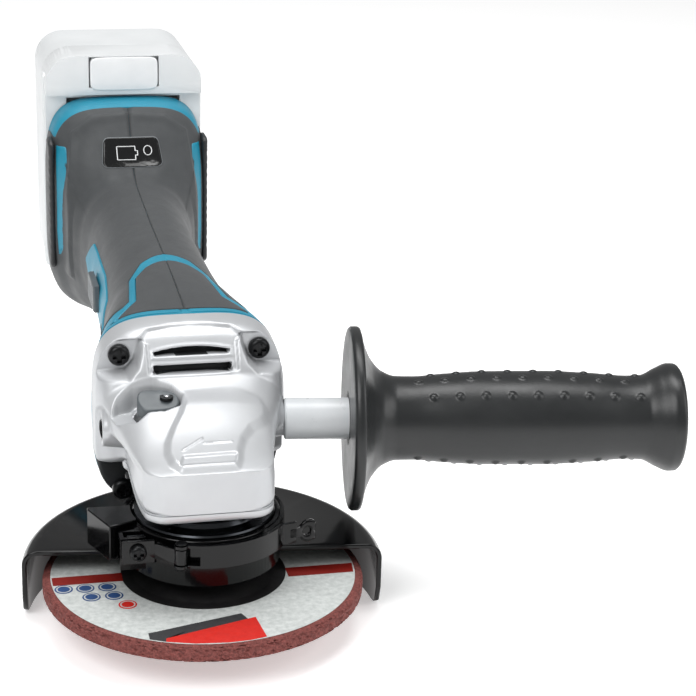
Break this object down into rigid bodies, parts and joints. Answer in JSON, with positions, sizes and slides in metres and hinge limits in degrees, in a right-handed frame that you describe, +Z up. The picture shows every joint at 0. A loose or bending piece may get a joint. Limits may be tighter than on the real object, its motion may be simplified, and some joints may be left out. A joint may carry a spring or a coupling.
{
  "type": "cordless angle grinder",
  "caption": "Cordless angle grinder with a rear slide-on battery, guarded grinding wheel, clamp lever, shaft lock, slide switch and a screw-in side handle.",
  "frame": {"origin": "centre of the spindle's end face, on the spindle axis and level with the wheel's lower face", "axes": "+Z up the spindle from the wheel to the gear case, +Y back along the body to the battery, +X towards the side handle"},
  "size_m": [0.267, 0.3735, 0.172],
  "materials": {
    "black_plastic": "moulded",
    "button_plastic": "white",
    "battery_plastic": "pale grey",
    "cell_steel": "sleeved cell cans",
    "cast_aluminium": "satin silver casting",
    "black_screws": "black oxide",
    "gear_steel": "cut and hardened",
    "copper_wire": "enamelled copper",
    "teal_plastic": "moulded, satin gloss",
    "black_paint": "gloss black",
    "blued_steel": "black oxide",
    "board_laminate": "coated board",
    "bright_steel": "ground",
    "soft_grip": "fine grain",
    "bonded_abrasive": "resin-bonded grit with a pale paper label on the upper face",
    "handle_rubber": "satin",
    "pale_plastic": "pale grey",
    "panel_gloss": "polished window with a white outline",
    "dark_button": "moulded",
    "spring_steel": "drawn wire",
    "lamination_steel": "stacked sheet",
    "bronze": "sintered",
    "grey_plastic": "moulded"
  },
  "bodies": {
    "tool": {"baffle_plate": "black_plastic", "bearing_box": "cast_aluminium", "bearing_box_screws": "black_screws", "board_terminals": "copper_wire", "body_shell_left": "teal_plastic", "body_shell_right": "teal_plastic", "control_board": "board_laminate", "dust_cover_left": "teal_plastic", "dust_cover_right": "teal_plastic", "front_bearing": "bright_steel", "front_pad_left": "soft_grip", "front_pad_right": "soft_grip", "gear_housing": "cast_aluminium", "grip_overmold_left": "soft_grip", "grip_overmold_right": "soft_grip", "housing_screws": "black_screws", "indicator_panel": "panel_gloss", "lock_spring": "spring_steel", "lower_flange": "black_plastic", "rear_bearing": "bright_steel", "rear_bearing_seat": "black_plastic", "shell_screws": "black_screws", "spindle_bearing": "bright_steel", "spindle_bush": "bronze", "stator_coils": "copper_wire", "stator_core": "lamination_steel", "switch_unit": "black_plastic", "terminal_block": "black_plastic"},
    "spindle_set": {"spindle": "bright_steel", "bevel_gear": "gear_steel", "inner_flange": "blued_steel", "grinding_wheel": "bonded_abrasive", "lock_nut": "blued_steel"},
    "rotor_set": {"rotor_shaft": "bright_steel", "rotor_core": "lamination_steel", "pinion": "gear_steel", "cooling_fan": "black_plastic"},
    "shaft_lock": {"lock_pin": "bright_steel", "lock_button": "dark_button"},
    "guard_set": {"guard": "black_paint", "guard_catch": "black_paint", "clamp_band": "black_paint", "clamp_link": "black_paint", "clamp_screw": "black_screws", "clamp_nut": "blued_steel", "lever_pin": "blued_steel"},
    "lever": {"clamp_lever": "black_paint"},
    "side_handle": {"handle_stud": "bright_steel", "handle_spacer": "pale_plastic", "handle_core": "black_plastic", "handle_grip": "handle_rubber", "handle_end_plug": "handle_rubber"},
    "switch_slider": {"switch_knob": "grey_plastic", "switch_rod": "black_plastic"},
    "battery": {"battery_case_front": "battery_plastic", "battery_case_rear": "battery_plastic", "battery_cells": "cell_steel"},
    "release_button": {"battery_button": "button_plastic"}
  },
  "joints": [
    {"name": "spindle_spin", "type": "hinge", "parent": "tool", "child": "spindle_set", "pos_m": [0, 0, 0.03], "axis": [0, 0, 1], "continuous": true},
    {"name": "motor_spin", "type": "hinge", "parent": "tool", "child": "rotor_set", "pos_m": [0, 0.06, 0.057], "axis": [0, 1, 0], "continuous": true},
    {"name": "shaft_lock_press", "type": "slide", "parent": "tool", "child": "shaft_lock", "axis": [0, 0, -1], "range_m": [0, 0.0034], "stiffness_N_per_m": 400, "springref_m": -0.003, "deforming": ["lock_spring"]},
    {"name": "guard_turn", "type": "hinge", "parent": "tool", "child": "guard_set", "pos_m": [0, 0, 0.02], "axis": [0, 0, 1], "range_deg": [-30, 60]},
    {"name": "clamp_lever_swing", "type": "hinge", "parent": "guard_set", "child": "lever", "pos_m": [-0.0132, -0.0303, 0.027], "axis": [0, 0, -1], "range_deg": [0, 75]},
    {"name": "side_handle_unscrew", "type": "slide", "parent": "tool", "child": "side_handle", "axis": [0.9895, -0.1444, 0], "range_m": [0, 0.03]},
    {"name": "switch_slide", "type": "slide", "parent": "tool", "child": "switch_slider", "axis": [0, -1, 0], "range_m": [0, 0.006]},
    {"name": "battery_slide", "type": "slide", "parent": "tool", "child": "battery", "axis": [0, 0, 1], "range_m": [0, 0.1]},
    {"name": "release_press", "type": "slide", "parent": "battery", "child": "release_button", "axis": [0, 0, -1], "range_m": [0, 0.003], "stiffness_N_per_m": 300, "springref_m": -0.002}
  ],
  "couplings": [
    {"joint": "motor_spin", "follows": "spindle_spin", "ratio": 3.7}
  ]
}
